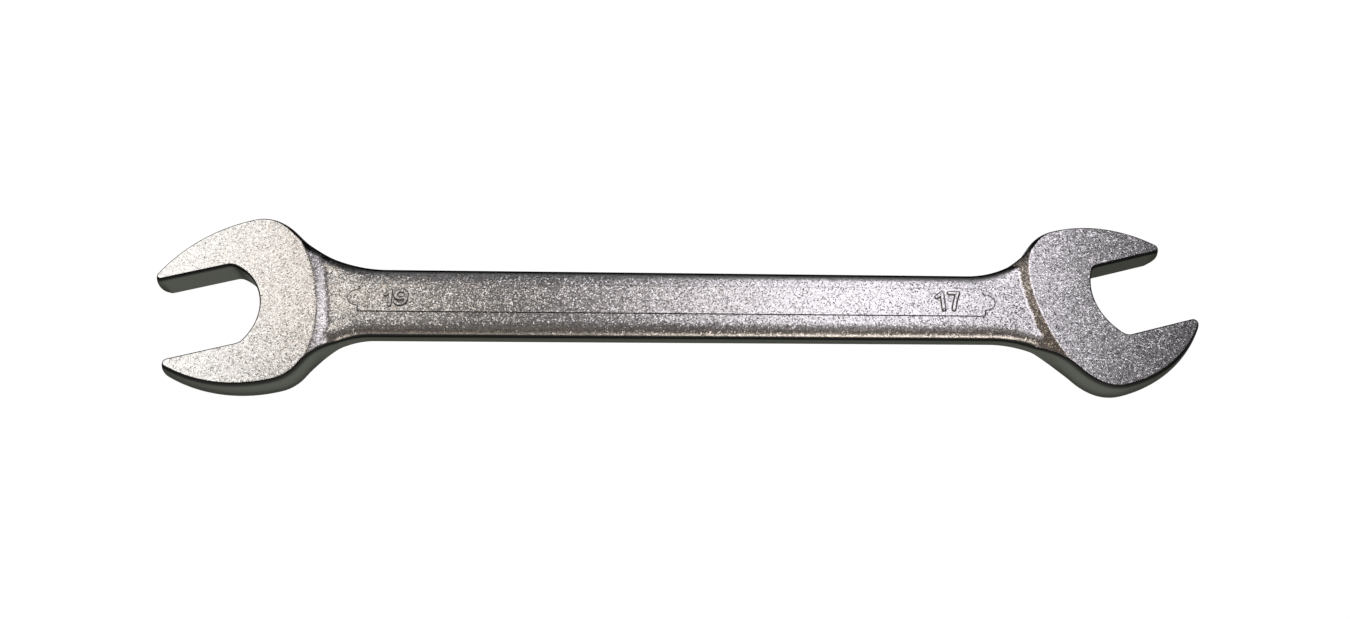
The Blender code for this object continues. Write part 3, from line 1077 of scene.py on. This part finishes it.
def chrome_tone(tree, facet_shades, forged):
    """The faces' speckled tone, with each zone's painted reflection or shade over it."""
    darkest, lightest = (
        between(tree, forged, on_head, on_shank)
        for on_head, on_shank in zip(HEAD_SPECKS, SHANK_SPECKS)
    )
    facet = tree.nodes.new("ShaderNodeSeparateColor")
    feed(tree, facet_shades, facet.inputs["Color"])
    speck = between(tree, facet.outputs["Blue"], darkest, lightest)
    tone = scaled(tree, FACE_TONE, speck)
    for zone, blend, zone_tone in ZONE_TONES:
        mix = tree.nodes.new("ShaderNodeMix")
        mix.data_type = "RGBA"
        mix.blend_type = blend
        feed(tree, zone_tone, mix.inputs["B"])
        feed(tree, zone_share(tree, zone), mix.inputs["Factor"])
        feed(tree, tone, mix.inputs["A"])
        tone = mix.outputs["Result"]
    return tone


def faceted_normal(tree, facet_shades, forged, flank):
    """Each facet leans its own way, a few of them far, and all of them less on the smooth flank."""
    lean = vector_math(tree, "SUBTRACT", facet_shades, (0.5, 0.5, 0.5))
    square = vector_math(tree, "MULTIPLY", lean, lean)
    cube = vector_math(tree, "MULTIPLY", square, lean)
    face_lean = between(tree, forged, HEAD_FACET_LEAN, SHANK_FACET_LEAN)
    facet_lean = scaled(tree, cube, between(tree, flank, face_lean, FLANK_FACET_LEAN))
    surface = tree.nodes.new("ShaderNodeNewGeometry")
    tilted = vector_math(tree, "ADD", surface.outputs["Normal"], facet_lean)
    return vector_math(tree, "NORMALIZE", tilted)


def satin_chrome():
    """Satin plate: bright blasted faces and smooth flanks with a painted dark reflection, in the zones of
    the skin's layers.
    """
    material = bpy.data.materials.new("satin_chrome")
    material.use_nodes = True
    tree = material.node_tree
    shader = tree.nodes["Principled BSDF"]
    shader.inputs["Metallic"].default_value = 1.0
    shader.inputs["Specular Tint"].default_value = EDGE_TINT
    flank = zone_share(tree, "flank")
    forged = zone_share(tree, "forged")

    place = tree.nodes.new("ShaderNodeTexCoord")
    facets = tree.nodes.new("ShaderNodeTexVoronoi")
    facets.inputs["Scale"].default_value = 1 / FACET_SIZE
    tree.links.new(place.outputs["Object"], facets.inputs["Vector"])
    facet_shades = facets.outputs["Color"]

    feed(tree, chrome_tone(tree, facet_shades, forged), shader.inputs["Base Color"])
    roughness = between(tree, flank, FACE_ROUGHNESS, FLANK_ROUGHNESS)
    feed(tree, roughness, shader.inputs["Roughness"])
    feed(tree, faceted_normal(tree, facet_shades, forged, flank), shader.inputs["Normal"])
    return material


def plain_floor():
    """White paper that keeps the shadow, and is mostly its own white to a camera or a reflection."""
    material = bpy.data.materials.new("floor_white")
    material.use_nodes = True
    tree = material.node_tree
    tree.nodes.remove(tree.nodes["Principled BSDF"])
    output = tree.nodes["Material Output"]
    paper = tree.nodes.new("ShaderNodeBsdfDiffuse")
    paper.inputs["Color"].default_value = FLOOR_PAPER
    white = tree.nodes.new("ShaderNodeEmission")
    white.inputs["Strength"].default_value = FLOOR_WHITE
    path = tree.nodes.new("ShaderNodeLightPath").outputs
    seen = number_math(tree, "MAXIMUM", path["Is Camera Ray"], path["Is Glossy Ray"])
    shown = number_math(tree, "MAXIMUM", seen, path["Is Transmission Ray"])
    mix = tree.nodes.new("ShaderNodeMixShader")
    share = number_math(tree, "MULTIPLY", shown, FLOOR_WHITE_SHARE)
    tree.links.new(share, mix.inputs["Fac"])
    tree.links.new(paper.outputs["BSDF"], mix.inputs[1])
    tree.links.new(white.outputs["Emission"], mix.inputs[2])
    tree.links.new(mix.outputs["Shader"], output.inputs["Surface"])
    return material


# Stage, light and camera


def add_floor():
    mesh = bpy.data.meshes.new("floor")
    half = FLOOR_HALF_WIDTH
    corner_points = [(-half, -half, 0), (half, -half, 0), (half, half, 0), (-half, half, 0)]
    mesh.from_pydata(corner_points, [], [(0, 1, 2, 3)])
    floor = bpy.data.objects.new("floor", mesh)
    bpy.context.scene.collection.objects.link(floor)
    mesh.materials.append(plain_floor())


def add_softbox(name, box):
    """A level softbox, facing down."""
    size = (box.right - box.left, box.far - box.near)
    light = bpy.data.lights.new(name, "AREA")
    light.shape = "RECTANGLE"
    light.size, light.size_y = size
    light.energy = math.pi * size[0] * size[1] * box.brightness
    light.color = box.colour
    lamp = bpy.data.objects.new(name, light)
    lamp.location = ((box.left + box.right) / 2, (box.near + box.far) / 2, SOFTBOX_HEIGHT)
    bpy.context.scene.collection.objects.link(lamp)


def add_world():
    """White where a camera sees it, and low down in reflections, where it stands higher in front."""
    world = bpy.data.worlds.new("studio")
    world.use_nodes = True
    tree = world.node_tree
    background = tree.nodes["Background"]
    background.inputs["Color"].default_value = WORLD_WHITE
    place = tree.nodes.new("ShaderNodeTexCoord")
    parts = tree.nodes.new("ShaderNodeSeparateXYZ")
    tree.links.new(place.outputs["Generated"], parts.inputs["Vector"])
    away, up = parts.outputs["Y"], parts.outputs["Z"]
    tilted = number_math(tree, "MULTIPLY_ADD", away, WORLD_FRONT_TILT, up)
    climb = tree.nodes.new("ShaderNodeMapRange")
    climb.interpolation_type = "SMOOTHSTEP"
    climb.inputs["From Min"].default_value = WORLD_CLIMB_START
    climb.inputs["From Max"].default_value = WORLD_CLIMB_END
    climb.inputs["To Min"].default_value = 1.0
    climb.inputs["To Max"].default_value = WORLD_ZENITH
    tree.links.new(tilted, climb.inputs["Value"])
    path = tree.nodes.new("ShaderNodeLightPath")
    seen = number_math(tree, "MAXIMUM", path.outputs["Is Camera Ray"], climb.outputs["Result"])
    tree.links.new(seen, background.inputs["Strength"])
    bpy.context.scene.world = world


def add_camera(plan):
    """The photograph's camera, looking at its target from in front and above."""
    target = Vector((*CAMERA_TARGET, 0)) + Vector(plan.offset)
    elevation, azimuth = CAMERA_ELEVATION, CAMERA_AZIMUTH
    forward = Vector(
        (
            math.sin(azimuth) * math.cos(elevation),
            math.cos(azimuth) * math.cos(elevation),
            -math.sin(elevation),
        )
    )
    right = Vector((math.cos(azimuth), -math.sin(azimuth), 0))
    up = right.cross(forward)
    rolled_right = math.cos(CAMERA_ROLL) * right + math.sin(CAMERA_ROLL) * up
    rolled_up = math.cos(CAMERA_ROLL) * up - math.sin(CAMERA_ROLL) * right
    lens = bpy.data.cameras.new("camera")
    lens.sensor_fit = "HORIZONTAL"
    lens.sensor_width = SENSOR_WIDTH
    lens.lens = CAMERA_LENS
    lens.clip_start = CAMERA_CLIP_START
    camera = bpy.data.objects.new("camera", lens)
    turned = Matrix((rolled_right, rolled_up, -forward)).transposed().to_4x4()
    camera.matrix_world = Matrix.Translation(target - CAMERA_DISTANCE * forward) @ turned
    bpy.context.scene.collection.objects.link(camera)
    bpy.context.scene.camera = camera


def main():
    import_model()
    plan = Plan()
    skin = build_skin(plan)
    shank_low, shank_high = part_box("shank")
    chrome = satin_chrome()
    pieces = (
        ("head_19", None, shank_low.x),
        ("shank", shank_low.x, shank_high.x),
        ("head_17", shank_high.x, None),
    )
    for node, low_x, high_x in pieces:
        piece = cut_piece(skin, node + "_skin", chrome, low_x, high_x)
        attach(piece, "root")
        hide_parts(node)
    bpy.data.meshes.remove(skin)

    add_floor()
    add_world()
    for name, box in SOFTBOXES.items():
        add_softbox(name, box)
    add_camera(plan)

    bpy.context.scene.view_settings.view_transform = "Standard"


main()
